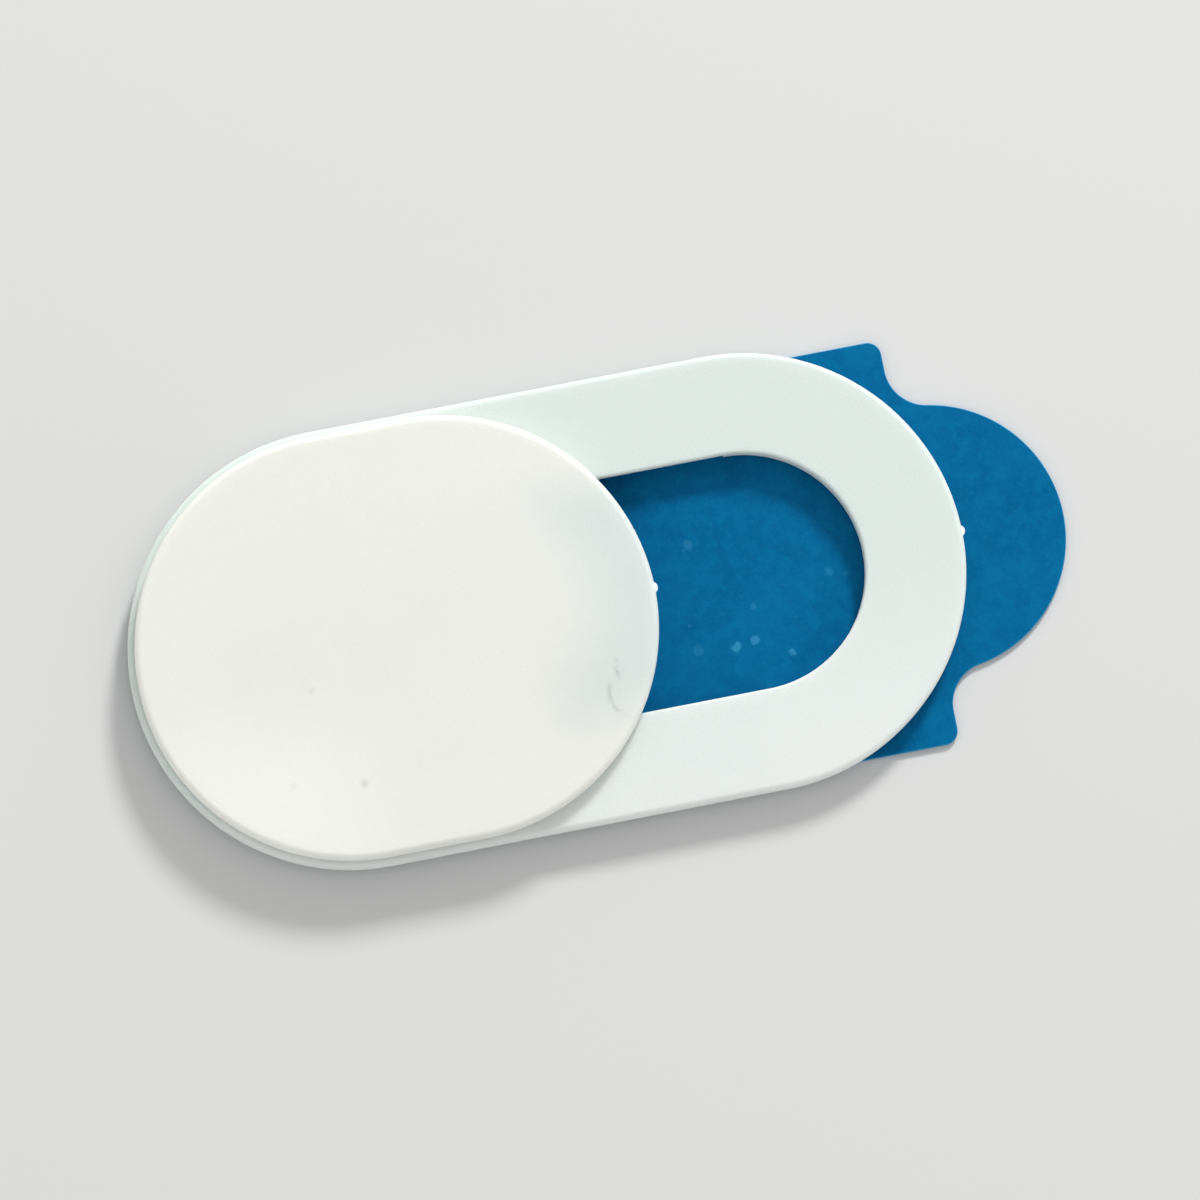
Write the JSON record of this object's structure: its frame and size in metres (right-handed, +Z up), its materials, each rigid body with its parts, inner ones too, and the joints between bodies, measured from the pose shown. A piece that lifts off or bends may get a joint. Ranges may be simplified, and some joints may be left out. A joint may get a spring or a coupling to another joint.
{
  "type": "webcam cover slider",
  "caption": "Thin round-ended stick-on frame with a sliding plate that covers or opens its window, on a film release liner with a pull tab.",
  "frame": {"origin": "below the middle of the frame, on the underside of the release liner", "axes": "+X along the slide, towards the pull tab; +Z up, out of the surface that the liner lies on"},
  "size_m": [0.0203, 0.0094, 0.001],
  "materials": {
    "frame_plastic": "moulded white plastic, satin",
    "shutter_plastic": "moulded white plastic, satin",
    "tape_adhesive": "clear transfer adhesive that shows the blue film below",
    "liner_film": "blue release film, semi-gloss"
  },
  "bodies": {
    "base": {"base_frame": "frame_plastic", "adhesive_ring": "tape_adhesive", "release_liner": "liner_film"},
    "slider": {"shutter": "shutter_plastic"}
  },
  "joints": [
    {"name": "shutter_slide", "type": "slide", "parent": "base", "child": "slider", "axis": [1, 0, 0], "range_m": [0, 0.00655]}
  ]
}
